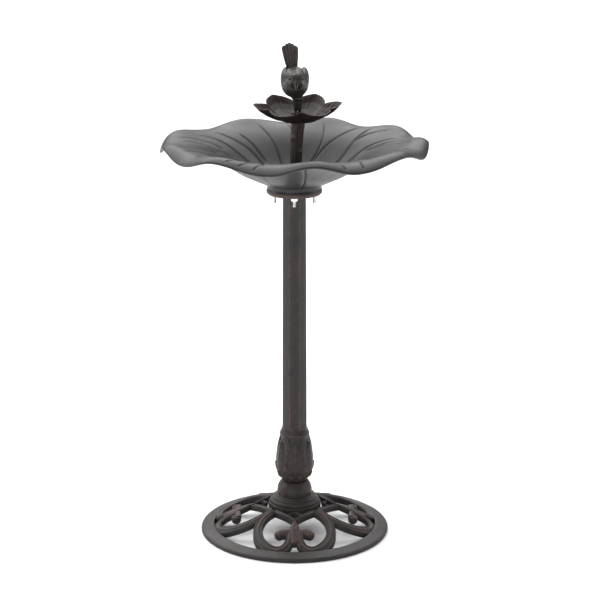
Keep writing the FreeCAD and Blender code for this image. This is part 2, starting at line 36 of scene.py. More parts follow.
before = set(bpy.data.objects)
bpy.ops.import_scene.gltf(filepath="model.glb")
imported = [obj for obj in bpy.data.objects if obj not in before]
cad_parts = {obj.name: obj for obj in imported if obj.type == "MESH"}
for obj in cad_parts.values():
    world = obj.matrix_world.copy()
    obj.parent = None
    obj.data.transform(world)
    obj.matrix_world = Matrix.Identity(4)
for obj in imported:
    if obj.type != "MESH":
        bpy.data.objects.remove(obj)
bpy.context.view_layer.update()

MM = 0.001
TAU = 2 * math.pi
QUARTERS = [quarter * math.pi / 2 for quarter in range(4)]


def box_mm(node):
    """Lowest and highest corner of a CAD node, in millimetres."""
    low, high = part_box(node)
    return np.array(low) / MM, np.array(high) / MM


# ------------------------ numbers from the frame

BASE_HIGH = box_mm("base_casting")[1]
COLLAR_LOW, COLLAR_HIGH = box_mm("base_collar")
BULB_LOW = box_mm("leaf_bulb")[0]
TUBE_LOW, TUBE_HIGH = box_mm("column_tube")
CAP_LOW, CAP_HIGH = box_mm("column_cap")
STEM_LOW, STEM_HIGH = box_mm("stem")
DISH_LOW = box_mm("lotus_dish")[0]
BIRD_HIGH = box_mm("bird")[1]

BASE_RADIUS = BASE_HIGH[0]
HUB_TOP = BASE_HIGH[2]
BOWL_FOOT = box_mm("bowl")[0][2]
STEM_FOOT_X, DISH_X = [sum(box_mm(node))[0] / 2 for node in ("stem_seal", "bird_stud")]


# ------------------------ curves and meshes

def spline(points, count, crowd=1.0):
    """A natural cubic spline through a few points, sampled evenly along its length, or closer to its end."""
    points = np.array(points, float)
    knots = np.concatenate([[0], np.cumsum(np.linalg.norm(np.diff(points, axis=0), axis=1))])
    spans = np.diff(knots)
    n = len(points)
    system = np.eye(n)
    pull = np.zeros_like(points)
    for i in range(1, n - 1):
        system[i, i - 1:i + 2] = spans[i - 1], 2 * (spans[i - 1] + spans[i]), spans[i]
        pull[i] = 6 * ((points[i + 1] - points[i]) / spans[i] - (points[i] - points[i - 1]) / spans[i - 1])
    bend = np.linalg.solve(system, pull)
    at = knots[-1] * (1 - (1 - np.linspace(0, 1, count)) ** crowd)
    place = np.clip(np.searchsorted(knots, at, side="right") - 1, 0, n - 2)
    span = spans[place][:, None]
    left = (knots[place + 1] - at)[:, None]
    right = (at - knots[place])[:, None]
    return (bend[place] * left ** 3 / (6 * span) + bend[place + 1] * right ** 3 / (6 * span)
            + (points[place] / span - bend[place] * span / 6) * left
            + (points[place + 1] / span - bend[place + 1] * span / 6) * right)


def rounded(corners, radius, steps=4):
    """An open outline with each inner corner rounded, as turned and cast edges are."""
    corners = np.array(corners, float)
    out = [corners[0]]
    for before, corner, after in zip(corners, corners[1:], corners[2:]):
        reach = min(radius, np.linalg.norm(before - corner) * 0.45, np.linalg.norm(after - corner) * 0.45)
        start = corner + (before - corner) / np.linalg.norm(before - corner) * reach
        end = corner + (after - corner) / np.linalg.norm(after - corner) * reach
        for t in np.linspace(0, 1, steps):
            out.append((1 - t) ** 2 * start + 2 * t * (1 - t) * corner + t ** 2 * end)
    out.append(corners[-1])
    return np.array(out)


def smooth_step(low, high, x):
    """0 at low, 1 at high, and an S between them."""
    t = np.clip((x - low) / (high - low), 0, 1)
    return t * t * (3 - 2 * t)


def ripple(*angles):
    """A soft uneven pattern between -1 and 1 from a few waves, the same on every run."""
    total = 0
    for i, (scale_a, scale_b) in enumerate(((1, 0.7), (1.9, -1.3), (3.1, 2.2), (4.3, -3.7))):
        total = total + np.sin(scale_a * angles[0] + scale_b * angles[1] + 1.7 * i) / (1 + 0.6 * i)
    return total / 2.6


def full_turn(count):
    """Evenly spaced angles of one turn, as a row."""
    return np.linspace(0, TAU, count, endpoint=False)[None, :]


def about_axis(x, y, z, turn):
    """Points turned about the column's axis."""
    c, s = math.cos(turn), math.sin(turn)
    return np.stack([x * c - y * s, x * s + y * c, z], axis=-1)


def around(radius, angle, height, x=0, y=0):
    """Points at a radius and an angle about an upright axis through (x, y)."""
    spots = np.broadcast_arrays(x + radius * np.cos(angle), y + radius * np.sin(angle), height)
    return np.stack(spots, axis=-1)


class Shape:
    """Points and faces of one piece, gathered from patches, with wear values and groove values (painted shade
    in recesses) for the paint.
    """

    def __init__(self):
        self.points, self.faces, self.wear, self.groove = [], [], [], []
        self.count = 0

    def add(self, points, faces, wear=0.0, groove=0.0):
        points = np.asarray(points, float)
        size = points.shape[:-1]
        self.faces += [[i + self.count for i in face] for face in faces]
        self.points.append(points.reshape(-1, 3))
        self.wear.append(np.broadcast_to(wear, size).reshape(-1))
        self.groove.append(np.broadcast_to(groove, size).reshape(-1))
        self.count += self.points[-1].shape[0]

    def grid(self, rows, wear=0.0, groove=0.0, caps=False):
        """A patch of closed rings of points, each joined to the next; caps closes the first and last."""
        rows = np.asarray(rows, float)
        n, m = rows.shape[:2]
        faces = [(i * m + j, i * m + (j + 1) % m, (i + 1) * m + (j + 1) % m, (i + 1) * m + j)
                 for i in range(n - 1) for j in range(m)]
        if caps:
            faces += [tuple(range(m - 1, -1, -1)), tuple((n - 1) * m + j for j in range(m))]
        self.add(rows, faces, wear, groove)

    def lathe(self, outline, columns, relief, wear=0.0, caps=False):
        """A surface turned about the column's axis from (radius, height) pairs.

        What relief(angle, height) gives is added to the radius.
        """
        outline = np.asarray(outline, float)
        angle = full_turn(columns)
        radius, height = np.broadcast_arrays(outline[:, :1], outline[:, 1:2] + 0 * angle)
        self.grid(around(radius + relief(angle, height), angle, height), wear, caps=caps)

    def plate(self, front, back, wear=0.0, groove=0.0):
        """A thin closed slab between two sheets of points that share their rows and columns."""
        n, m = front.shape[:2]
        sheet = [(i * m + j, i * m + j + 1, (i + 1) * m + j + 1, (i + 1) * m + j)
                 for i in range(n - 1) for j in range(m - 1)]
        edge = [i * m for i in range(n)] + [(n - 1) * m + j for j in range(1, m)]
        edge += [i * m + m - 1 for i in range(n - 2, -1, -1)] + list(range(m - 2, 0, -1))
        faces = sheet + [tuple(n * m + i for i in reversed(face)) for face in sheet]
        faces += [(i, n * m + i, n * m + j, j) for i, j in zip(edge, edge[1:] + edge[:1])]
        self.add(np.stack([front, back]), faces, wear, groove)

    def piece(self, name, material, slot, *nodes, sharp=60):
        """The gathered patches as an object that stands for CAD nodes, smooth except over sharp edges."""
        mesh = bpy.data.meshes.new(name)
        mesh.from_pydata(np.vstack(self.points) * MM, [], self.faces)
        for label, values in (("wear", self.wear), ("groove", self.groove)):
            attribute = mesh.attributes.new(label, "FLOAT", "POINT")
            attribute.data.foreach_set("value", np.concatenate(values).astype(np.float32))
        work = bmesh.new()
        work.from_mesh(mesh)
        bmesh.ops.recalc_face_normals(work, faces=work.faces)
        work.to_mesh(mesh)
        work.free()
        mesh.materials.append(material)
        obj = bpy.data.objects.new(name, mesh)
        bpy.context.scene.collection.objects.link(obj)
        mesh.shade_smooth()
        mesh.set_sharp_from_angle(angle=math.radians(sharp))
        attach(obj, "root")
        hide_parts(*nodes)


# ------------------------ materials

class Paint:
    """A node material on one Principled shader, with helpers for the few kinds of node that it needs."""

    def __init__(self, name):
        self.material = bpy.data.materials.new(name)
        self.material.use_nodes = True
        self.tree = self.material.node_tree
        self.shader = self.tree.nodes["Principled BSDF"]
        self.place = self.tree.nodes.new("ShaderNodeTexCoord").outputs["Object"]

    def set(self, **values):
        for key, value in values.items():
            self.shader.inputs[key.replace("_", " ")].default_value = value

    def link(self, source, target):
        self.tree.links.new(source, target)

    def feed(self, socket, source):
        self.link(source, self.shader.inputs[socket])

    def noise(self, scale, detail=3.0, roughness=0.55):
        node = self.tree.nodes.new("ShaderNodeTexNoise")
        node.inputs["Scale"].default_value = scale
        node.inputs["Detail"].default_value = detail
        node.inputs["Roughness"].default_value = roughness
        self.link(self.place, node.inputs["Vector"])
        return node.outputs["Fac"]

    def attribute(self, name):
        node = self.tree.nodes.new("ShaderNodeAttribute")
        node.attribute_name = name
        return node.outputs["Fac"]

    def ramp(self, source, low, high, out_low=0.0, out_high=1.0):
        node = self.tree.nodes.new("ShaderNodeMapRange")
        for key, value in (("From Min", low), ("From Max", high), ("To Min", out_low), ("To Max", out_high)):
            node.inputs[key].default_value = value
        self.link(source, node.inputs["Value"])
        return node.outputs["Result"]

    def math(self, kind, first, second):
        node = self.tree.nodes.new("ShaderNodeMath")
        node.operation = kind
        for i, value in enumerate((first, second)):
            if isinstance(value, (int, float)):
                node.inputs[i].default_value = value
            else:
                self.link(value, node.inputs[i])
        return node.outputs["Value"]

    def mix(self, factor, first, second):
        node = self.tree.nodes.new("ShaderNodeMix")
        node.data_type = "RGBA"
        self.link(factor, node.inputs["Factor"])
        for key, value in (("A", first), ("B", second)):
            target = next(s for s in node.inputs if s.name == key and s.type == "RGBA")
            if isinstance(value, tuple):
                target.default_value = (*value, 1)
            else:
                self.link(value, target)
        return next(s for s in node.outputs if s.type == "RGBA")

    def bump(self, height, distance, strength, before=None):
        node = self.tree.nodes.new("ShaderNodeBump")
        node.inputs["Distance"].default_value = distance
        node.inputs["Strength"].default_value = strength
        self.link(height, node.inputs["Height"])
        if before is not None:
            self.link(before, node.inputs["Normal"])
        return node.outputs["Normal"]


def cast_finish(name, dark, light, rub, rub_amount, rough, shine):
    """Dark textured coating over cast metal, with a warm colour rubbed through on what stands proud, and
    painted shade darkening the grooves.
    """
    paint = Paint(name)
    paint.set(Specular_IOR_Level=shine)
    mottle = paint.ramp(paint.noise(55, 4), 0.35, 0.68)
    body = paint.mix(mottle, dark, light)
    patches = paint.ramp(paint.noise(24, 5, 0.6), 0.36, 0.62)
    scratch = paint.ramp(paint.noise(240, 3), 0.3, 0.65)
    worn = paint.math("MULTIPLY", paint.math("MULTIPLY", patches, scratch), rub_amount)
    worn = paint.math("MULTIPLY", worn, paint.ramp(paint.attribute("wear"), 0, 1, 0.25, 1.6))
    colour = paint.mix(worn, body, rub)
    # painted shade: colour darkened where the groove values mark creases and recesses
    deep = paint.math("MULTIPLY", paint.attribute("groove"), 0.7)
    colour = paint.mix(deep, colour, tuple(0.45 * c for c in dark))
    paint.feed("Base Color", colour)
    paint.feed("Roughness", paint.ramp(mottle, 0, 1, rough - 0.06, rough + 0.08))
    lumps = paint.bump(paint.noise(130, 4, 0.6), 0.0009, 0.5)
    grain = paint.bump(paint.noise(900, 2), 0.0002, 0.45, lumps)
    paint.feed("Normal", grain)
    return paint.material


def leaf_finish():
    """The bowl's charcoal coating: faint clouding, painted shade (darker and less shiny) in the grooves and
    over the middle, warm on worn edges.
    """
    paint = Paint("leaf_coating")
    # painted shade: less shine where the groove values are high
    paint.feed("Specular IOR Level", paint.ramp(paint.attribute("groove"), 0, 1, 0.35, 0.06))
    clouds = paint.ramp(paint.noise(18, 5, 0.6), 0.3, 0.7)
    body = paint.mix(clouds, (0.012, 0.0119, 0.0122), (0.018, 0.0178, 0.0182))
    patches = paint.ramp(paint.noise(60, 4), 0.35, 0.6, 0.1, 0.8)
    rub = paint.math("MULTIPLY", paint.attribute("wear"), patches)
    colour = paint.mix(rub, body, (0.040, 0.028, 0.023))
    # painted shade: near black in the veins and darker over the middle
    deep = paint.math("MULTIPLY", paint.attribute("groove"), 0.85)
    paint.feed("Base Color", paint.mix(deep, colour, (0.002, 0.002, 0.002)))
    paint.feed("Roughness", paint.ramp(clouds, 0, 1, 0.36, 0.46))
    lumps = paint.bump(paint.noise(70, 3), 0.0006, 0.25)
    grain = paint.bump(paint.noise(1200, 2), 0.00012, 0.35, lumps)
    paint.feed("Normal", grain)
    return paint.material


def zinc_finish():
    """Bright zinc plating, slightly clouded."""
    paint = Paint("zinc_plate")
    paint.set(Metallic=1.0)
    cloud = paint.ramp(paint.noise(500, 3), 0.3, 0.7)
    paint.feed("Base Color", paint.mix(cloud, (0.72, 0.73, 0.74), (0.86, 0.86, 0.85)))
    paint.feed("Roughness", paint.ramp(cloud, 0, 1, 0.22, 0.38))
    paint.feed("Normal", paint.bump(paint.noise(1500, 2), 0.00008, 0.3))
    return paint.material


def rubber_finish():
    """Matt black rubber with a fine bloom."""
    paint = Paint("seal_rubber")
    cloud = paint.noise(700, 3)
    paint.feed("Base Color", paint.mix(cloud, (0.012, 0.012, 0.013), (0.026, 0.026, 0.027)))
    paint.feed("Roughness", paint.ramp(cloud, 0.3, 0.7, 0.6, 0.8))
    paint.feed("Normal", paint.bump(cloud, 0.0001, 0.4))
    return paint.material


# Dark and light of the coating, the colour rubbed through, how much of it, roughness and shine
IRON = cast_finish("iron_bronze", (0.024, 0.022, 0.022), (0.037, 0.034, 0.034), (0.105, 0.052, 0.042),
                   0.62, 0.44, 0.2)
COLUMN = cast_finish("column_bronze", (0.019, 0.018, 0.0175), (0.027, 0.026, 0.025), (0.100, 0.052, 0.044),
                     1.0, 0.4, 0.26)
CAP = cast_finish("cap_bronze", (0.040, 0.029, 0.027), (0.060, 0.042, 0.037), (0.095, 0.050, 0.040),
                  0.6, 0.46, 0.3)
ORNAMENT = cast_finish("ornament_bronze", (0.019, 0.0145, 0.0125), (0.033, 0.025, 0.021),
                       (0.078, 0.051, 0.041), 0.6, 0.42, 0.2)
BARK = cast_finish("stem_bronze", (0.038, 0.029, 0.025), (0.062, 0.048, 0.042), (0.105, 0.070, 0.057),
                   0.6, 0.42, 0.3)
BIRD = cast_finish("bird_bronze", (0.021, 0.0175, 0.0165), (0.034, 0.028, 0.026), (0.075, 0.054, 0.048),
                   0.5, 0.33, 0.3)
LEAF = leaf_finish()
ZINC = zinc_finish()
RUBBER = rubber_finish()


# ------------------------ scene

# A standing viewer some way off, who looks down by the tilt
CAMERA_PLACE = (0.010, -3.419, 1.357)
CAMERA_TILT = 15
CAMERA_LENS = 117
FLOOR_HALF = 30
LAMP_WIDTH = 1.2


def set_scene():
    """Camera, pale floor, and soft light from above and from three sides."""
    camera = bpy.data.objects.new("camera", bpy.data.cameras.new("camera"))
    camera.data.lens = CAMERA_LENS
    camera.location = CAMERA_PLACE
    camera.rotation_euler = (math.radians(90 - CAMERA_TILT), 0, 0)
    bpy.context.scene.collection.objects.link(camera)
    bpy.context.scene.camera = camera

    floor = bpy.data.meshes.new("floor")
    corners = [(x * FLOOR_HALF, y * FLOOR_HALF, 0) for x, y in ((-1, -1), (1, -1), (1, 1), (-1, 1))]
    floor.from_pydata(corners, [], [(0, 1, 2, 3)])
    floor_object = bpy.data.objects.new("floor", floor)
    bpy.context.scene.collection.objects.link(floor_object)
    pale = Paint("floor_paper")
    pale.set(Base_Color=(0.93, 0.93, 0.94, 1), Roughness=0.9, Specular_IOR_Level=0.1)
    floor.materials.append(pale.material)

    for name, place, power, aim in (
        ("left", (-2.4, 0.3, 1.2), 22, (0, 0, 0.5)),
        ("right", (2.4, 0.3, 1.1), 13, (0, 0, 0.45)),
        ("front", (-1.0, -2.6, 0.9), 16, (0, 0, 0.4)),
    ):
        light = bpy.data.lights.new(name, "AREA")
        light.size = LAMP_WIDTH
        light.energy = power
        lamp = bpy.data.objects.new(name, light)
        lamp.location = place
        bpy.context.scene.collection.objects.link(lamp)
        toward = np.array(aim) - np.array(place)
        flat = math.hypot(toward[0], toward[1])
        compass = math.atan2(toward[1], toward[0]) - math.pi / 2
        lamp.rotation_euler = (math.atan2(flat, -toward[2]), 0, compass)

    overhead = bpy.data.lights.new("overhead", "SUN")
    overhead.angle = math.radians(75)
    overhead.energy = 3.9
    sky = bpy.data.objects.new("overhead", overhead)
    sky.rotation_euler = (math.radians(-30), math.radians(-8), 0)
    bpy.context.scene.collection.objects.link(sky)

    world = bpy.data.worlds.new("studio")
    world.use_nodes = True
    world.node_tree.nodes["Background"].inputs["Color"].default_value = (1, 1, 1, 1)
    world.node_tree.nodes["Background"].inputs["Strength"].default_value = 0.4
    bpy.context.scene.world = world
    bpy.context.scene.view_settings.view_transform = "Standard"


# ------------------------ base casting

RING_INNER = 150
RING_LIP = 12
RING_EDGE = 5.5
SCROLL_RISE = 39.5
SCROLL_BULGE = 6.8
SCROLL_DEPTH = 10
HUB_RADIUS = 48.3
HUB_UNDERSIDE = 38

# Centre lines of one side of a scroll heart, (across, outwards) about its axis
LOOP = ((38, 43), (53.5, 57), (63.5, 75), (66.8, 96), (62.7, 116.5), (51, 134), (34, 144.2), (18.5, 141),
        (10.3, 128), (8.5, 110))
CURL = ((5, 108.5), (12, 107.3), (18, 107), (23.5, 107.2), (27.4, 108.2))
CURL_DEPTH = 10
EYE_DEPTH = 16
TONGUE_EDGE = ((37, 44.5), (18.5, 61.5), (0, 79.5))
WEB = ((0, 53), (6, 56.5), (14, 63))
BUD = ((0, 80.5), (0, 104), (0, 133))
# Half of a bar's section: share of the way to its side, height over the dome's surface
BAR_HALF = ((0, 1.5), (0.22, 0.9), (0.42, -0.5), (0.58, -1.0), (0.7, -0.2), (0.82, 0.1), (0.93, -0.7),
            (1, -2.2))
ROUND_HALF = ((0, 1.8), (0.35, 1.5), (0.7, 0.5), (0.9, -0.9), (1, -2.4))
RIDGED_HALF = ((0, -1.0), (0.4, -0.8), (0.62, 0.3), (0.8, 0.5), (0.93, -0.4), (1, -1.6))


def section(half, depth):
    """The whole section of a bar from its half: up one side, over the top and down the other."""
    left = [(-across, height) for across, height in reversed(half)]
    return np.array([(-1, -depth)] + left + list(half[1:]) + [(1, -depth)])


def dome_height(radius):
    """Height of the scrolls' upper surface, an arc that climbs from the ring's lip to the hub."""
    share = (RING_INNER - radius) / (RING_INNER - HUB_RADIUS)
    return RING_LIP + SCROLL_RISE * share + 4 * SCROLL_BULGE * share * (1 - share)


def sweep(shape, corners, widths, half, side, turn, lift=0.0, steps=48, depth=SCROLL_DEPTH):
    """A bar along a smooth centre line on the dome, mirrored by side and turned to its heart."""
    line = spline(corners, steps)
    ahead = np.gradient(line, axis=0)
    ahead /= np.linalg.norm(ahead, axis=1)[:, None]
    beside = np.stack([-ahead[:, 1], ahead[:, 0]], axis=1)
    outline = section(half, depth)
    width = np.interp(np.linspace(0, 1, steps), np.linspace(0, 1, len(widths)), widths)
    flat = line[:, None, :] + beside[:, None, :] * (outline[None, :, :1] * width[:, None, None] / 2)
    height = dome_height(np.hypot(flat[..., 0], flat[..., 1])) + outline[None, :, 1] + lift
    height = np.maximum(height, 0.2)
    wear = np.clip((outline[:, 1] + 0.4) / 2.4, 0, 1)
    shape.grid(about_axis(side * flat[..., 0], -flat[..., 1], height, turn), wear=wear[None, :], caps=True)


def scroll_eye(shape, centre, radius, side, turn):
    """The round eye that a curl ends in and that hangs below it, with a groove about its middle."""
    angle = full_turn(32)
    below = np.array(((0.05, 0), (0.5, 1), (0.84, 4), (1, 8))) - (0, EYE_DEPTH)
    above = ((1, -3.5), (0.94, -1.9), (0.82, -0.9), (0.68, -0.8), (0.56, -1.7), (0.44, -1.1), (0.28, 0.3),
             (0.06, 0.7))
    profile = np.vstack([below, above])
    reach = radius * profile[:, :1]
    height = dome_height(math.hypot(*centre)) + profile[:, 1:2] + 0 * angle
    rows = about_axis(side * centre[0] + reach * np.cos(angle), -centre[1] + reach * np.sin(angle),
                      height, turn)
    shape.grid(rows, wear=np.array([0, 0, 0, 0.3, 0.4, 0.6, 0.8, 0.2, 0, 0.3, 0.8, 0.8])[:, None], caps=True)


def base_casting():
    shape = Shape()
    for turn in QUARTERS:
        for side in (1, -1):
            sweep(shape, LOOP, (16, 17.5, 17.5, 17.5, 17, 15.5, 14), BAR_HALF, side, turn, steps=96)
            sweep(shape, CURL, (14, 14, 14.8, 16, 16), ROUND_HALF, side, turn, -1.5, 32, CURL_DEPTH - 1.5)
            scroll_eye(shape, CURL[-1], 9.1, side, turn)
            sweep(shape, TONGUE_EDGE, (9, 7.6, 7), RIDGED_HALF, side, turn, 0, 24)
            sweep(shape, WEB, (5.5, 4.6, 5.5), RIDGED_HALF, side, turn, -0.8, 16)
        sweep(shape, BUD, (3, 12, 16.5, 19, 20, 19, 15), ROUND_HALF, 1, turn, 0.4, 40)
    ring = rounded([(RING_INNER, RING_LIP - 3), (RING_INNER, 0), (BASE_RADIUS, 0), (BASE_RADIUS, RING_EDGE),
                    (BASE_RADIUS - 2.5, RING_EDGE + 2), (BASE_RADIUS - 15, RING_LIP - 1.3),
                    (RING_INNER + 4, RING_LIP + 0.3), (RING_INNER, RING_LIP + 0.2),
                    (RING_INNER, RING_LIP - 3)], 1.6)
    shape.lathe(ring, 256, lambda a, z: 0.25 * ripple(9 * a, z) * (z > 1))
    seat = 36
    hub = rounded([(6, HUB_UNDERSIDE), (HUB_RADIUS - 3, HUB_UNDERSIDE), (HUB_RADIUS, HUB_UNDERSIDE + 3),
                   (HUB_RADIUS, 53.5), (HUB_RADIUS - 1.5, 54.6), (44.6, 53.4), (45.4, 56), (45.2, 58.6),
                   (42.5, 61.2), (40.4, 61), (40.8, 63.6), (39.2, 66), (37, 65.8), (seat, 67),
                   (seat, HUB_TOP - 1), (seat - 2, HUB_TOP), (6, HUB_TOP), (6, HUB_UNDERSIDE)], 1.0)
    shape.lathe(hub, 160, lambda a, z: 0.3 * ripple(4 * a, z / 3) * (z > HUB_UNDERSIDE + 1))
    shape.piece("scroll_base", IRON, "iron_bronze", "base_casting", sharp=50)


# ------------------------ collar, leaf bulb, column and cap

def base_collar():
    """The domed knob, a little lumpy from the sand mould, with a bead where it meets the hub."""
    foot, top = COLLAR_LOW[2], COLLAR_HIGH[2]
    shape = Shape()
    profile = spline([(31.2, foot + 1.4), (32, foot + 6), (31.8, foot + 11), (30.5, foot + 16),
                      (28.4, foot + 20), (25.6, foot + 24), (23.2, top)], 50)
    bead = rounded([(20, foot), (30.6, foot), (31.8, foot + 0.7), (31.2, foot + 1.4)], 0.5)
    outline = np.vstack([bead, profile[1:], [(22.4, top), (18, top)]])

    def dents(angle, height):
        hammered = 0.45 * ripple(3 * angle, height / 5) + 0.25 * ripple(9 * angle, height / 2)
        return hammered * smooth_step(foot + 2, foot + 6, height) * (1 - smooth_step(top - 3, top, height))

    shape.lathe(outline, 192, dents, wear=0.2, caps=True)
    shape.piece("collar_knob", IRON, "iron_bronze", "base_collar")


# Outline of the leaf bulb over the leaves, as (radius, height over the collar)
BULB_OUTLINE = ((23, 2), (25.8, 6), (29.5, 10), (31.3, 16), (34.1, 24), (35, 34), (35, 45), (33.1, 61),
                (31.2, 73), (28.4, 83), (27.2, 89))


class LeafRelief:
    """Rings of pointed leaves laid one over another on a surface of revolution."""

    def __init__(self, angle, height, radius):
        self.angle, self.height, self.radius = angle, height, radius
        self.relief = np.zeros(radius.shape)
        self.wear = np.zeros(radius.shape)
        self.groove = np.zeros(radius.shape)

    def leaves(self, count, turn, foot, tip, half_width, lift, rub):
        """A ring of leaves that stand on foot and end in points at tip; each has a midrib and side veins."""
        pitch = TAU / count
        aside = ((self.angle - turn + pitch / 2) % pitch - pitch / 2) * self.radius
        along = (self.height - foot) / (tip - foot)
        half = half_width * np.sin(math.pi * (0.3 + 0.7 * np.clip(along, 0, 1))) ** 0.75 + 1e-6
        across = np.abs(aside) / half
        leaf = smooth_step(1.06, 0.96, across) * smooth_step(-0.01, 0.01, along) * (along < 1)
        rib = np.exp(-(aside / 0.9) ** 2)
        veins = np.cos(TAU * (along * 9 - across * 1.4)) * smooth_step(0.1, 0.3, across)
        height = lift + 1.3 * (1 - across ** 2) + 0.7 * rib + 0.16 * veins + 0.5 * along ** 3
        edge = np.exp(-((across - 1.08) * half / 0.8) ** 2) * (along > -0.02) * (along < 1.03)
        self.relief = self.relief * (1 - leaf) + height * leaf
        # painted shade under the edge of each leaf, where it laps over the ring below
        self.groove = np.maximum(self.groove * (1 - leaf), edge * (across > 1))
        brim = np.exp(-((across - 0.93) * half / 0.9) ** 2)
        self.wear = self.wear * (1 - leaf) + leaf * np.clip(rub + 0.55 * brim + 0.35 * rib, 0, 1)


def leaf_bulb():
    """The pear-shaped casting: four rings of leaves, and above them the cup that holds the column."""
    foot, columns = BULB_LOW[2], 480
    body = spline(BULB_OUTLINE, 190)
    cup = spline([(27.2, 89), (27.4, 91.5), (26.9, 94), (25.4, 96.8), (24.7, 99.6)], 18)[1:]
    profile = np.vstack([body, cup])
    angle = full_turn(columns)
    height = foot + profile[:, 1:2] + 0 * angle
    radius = profile[:, :1] + 0 * angle
    front = -math.pi / 2
    leaves = LeafRelief(angle, height, radius)
    leaves.leaves(6, front + math.radians(33), foot + 20, foot + 88, 12, 0.1, 0.15)
    leaves.leaves(6, front + math.radians(3), foot + 10, foot + 78, 15.5, 1.0, 0.1)
    leaves.leaves(6, front + math.radians(33), foot + 1, foot + 37, 13.5, 1.6, 0.55)
    leaves.leaves(12, front + math.radians(18), foot, foot + 19, 6.8, 2.2, 0.6)
    lap = smooth_step(2, 12, height - foot) * (1 - smooth_step(84, 90, height - foot))
    relief = (leaves.relief - 2.6) * lap
    relief += 0.7 * np.exp(-((height - foot - 79) / 1.1) ** 2) * (leaves.relief < 1.3)
    relief += 0.12 * ripple(13 * angle, height / 1.7)
    rim = np.exp(-((height - foot - 92) / 1.6) ** 2) + np.exp(-((height - foot - 79) / 1.2) ** 2)
    shape = Shape()
    shape.grid(around(radius + relief, angle, height), wear=np.clip(leaves.wear + 0.7 * rim, 0, 1),
               groove=0.9 * leaves.groove * lap, caps=True)
    shape.piece("leaf_bulb_casting", IRON, "iron_bronze", "leaf_bulb", sharp=75)


FLUTES = 8
FLUTE_DEPTH = 1.5


def column_tube():
    """Eight shallow flutes with rubbed ridges between them."""
    foot, top = TUBE_LOW[2] - 2, TUBE_HIGH[2]
    heights = np.linspace(foot, top, 150)[:, None]
    angle = full_turn(256)
    across = np.mod(angle + math.pi / 2 - math.pi / FLUTES, TAU / FLUTES) / (TAU / FLUTES)
    hollow = (1 - (2 * across - 1) ** 2) ** 0.8
    ends = smooth_step(foot + 2, foot + 9, heights) * (1 - smooth_step(top - 6, top - 1, heights))
    taper = (heights - foot) / (top - foot)
    radius = TUBE_HIGH[0] - 1.6 * taper - FLUTE_DEPTH * hollow * ends + 0.12 * ripple(5 * angle, heights / 23)
    wear = (1 - smooth_step(0.0, 0.5, hollow)) * ends
    shape = Shape()
    # groove values: painted shade in the bottoms of the flutes
    shape.grid(around(radius, angle, heights), wear=wear, groove=0.25 * smooth_step(0.85, 1, hollow) * ends,
               caps=True)
    shape.piece("fluted_column", COLUMN, "column_bronze", "column_tube", sharp=80)


def column_cap():
    """The two-step plate under the bowl with its spigot in the column, its edges rounded by the mould."""
    foot, top, rim = CAP_LOW[2], CAP_HIGH[2], CAP_HIGH[0]
    plate, step, spigot, recess = TUBE_HIGH[2], 2.6, 19.5, 11
    outline = rounded([(5.6, foot), (spigot, foot), (spigot, plate), (rim - step, plate),
                       (rim - step, plate + step), (rim, plate + step), (rim, top), (recess, top),
                       (recess, top - 19), (5.6, top - 19), (5.6, foot)], 0.9, 5)
    shape = Shape()
    shape.lathe(outline, 200, lambda a, z: 0.2 * ripple(7 * a, z / 2) * (z > plate), wear=0.5)
    shape.piece("bowl_plate", CAP, "iron_bronze", "column_cap")


# ------------------------ bowl

# Angles in degrees of the crests and the troughs between them: from the front, round by +X
LOBE_TURNS = np.array((8, 27, 53, 72, 90, 108, 125, 145, 163, 181, 205, 227, 250, 272, 286, 306, 325, 349,
                       368))
BOWL_COLUMNS = 960
# The leaf from the middle of the floor to the rim, its underside from the neck to the rim, and the neck:
# radius and height over the neck's foot
LEAF_INSIDE = ((8, 22), (50, 22.3), (64, 24.5), (90, 35), (120, 52), (150, 68), (180, 80), (205, 87),
               (222, 88.5), (233, 84.5), (238.2, 80.5))
LEAF_UNDER = ((50.6, 10.8), (59, 14.2), (75, 21.5), (91, 28.9), (120, 46.4), (150, 62.6), (180, 74.8),
              (205, 82), (220, 83.6), (231, 79.6), (237, 76.4))
NECK = ((1, 14), (42, 14), (42, 0), (49.9, 0), (49.8, 1.8), (48.7, 3.6), (48.6, 6.4), (49.6, 9.6),
        (50.6, 10.8))
# The lobes' rise and fall at the rim, and the radii where it begins and is whole
LOBE_SWELL = 7.5
LOBES_FROM, LOBES_TO = 168, 242
# How far a vein sinks into the leaf's top and into its underside
VEIN_SINK, VEIN_HOLLOW = 1.8, 0.9
# Painted shade over the middle of the inside, darker and less shiny, fades out between these radii
MIDDLE_SHADE_FROM, MIDDLE_SHADE_TO = 120, 205


def lobe_wave(angle):
    """+1 on the crest of each lobe and -1 in the troughs; the angle runs from +X."""
    turn = np.mod(np.degrees(angle) + 90 - LOBE_TURNS[0], 360) + LOBE_TURNS[0]
    place = np.clip(np.searchsorted(LOBE_TURNS, turn, side="right") - 1, 0, len(LOBE_TURNS) - 2)
    share = (turn - LOBE_TURNS[place]) / (LOBE_TURNS[place + 1] - LOBE_TURNS[place])
    return np.cos(math.pi * (place + share))


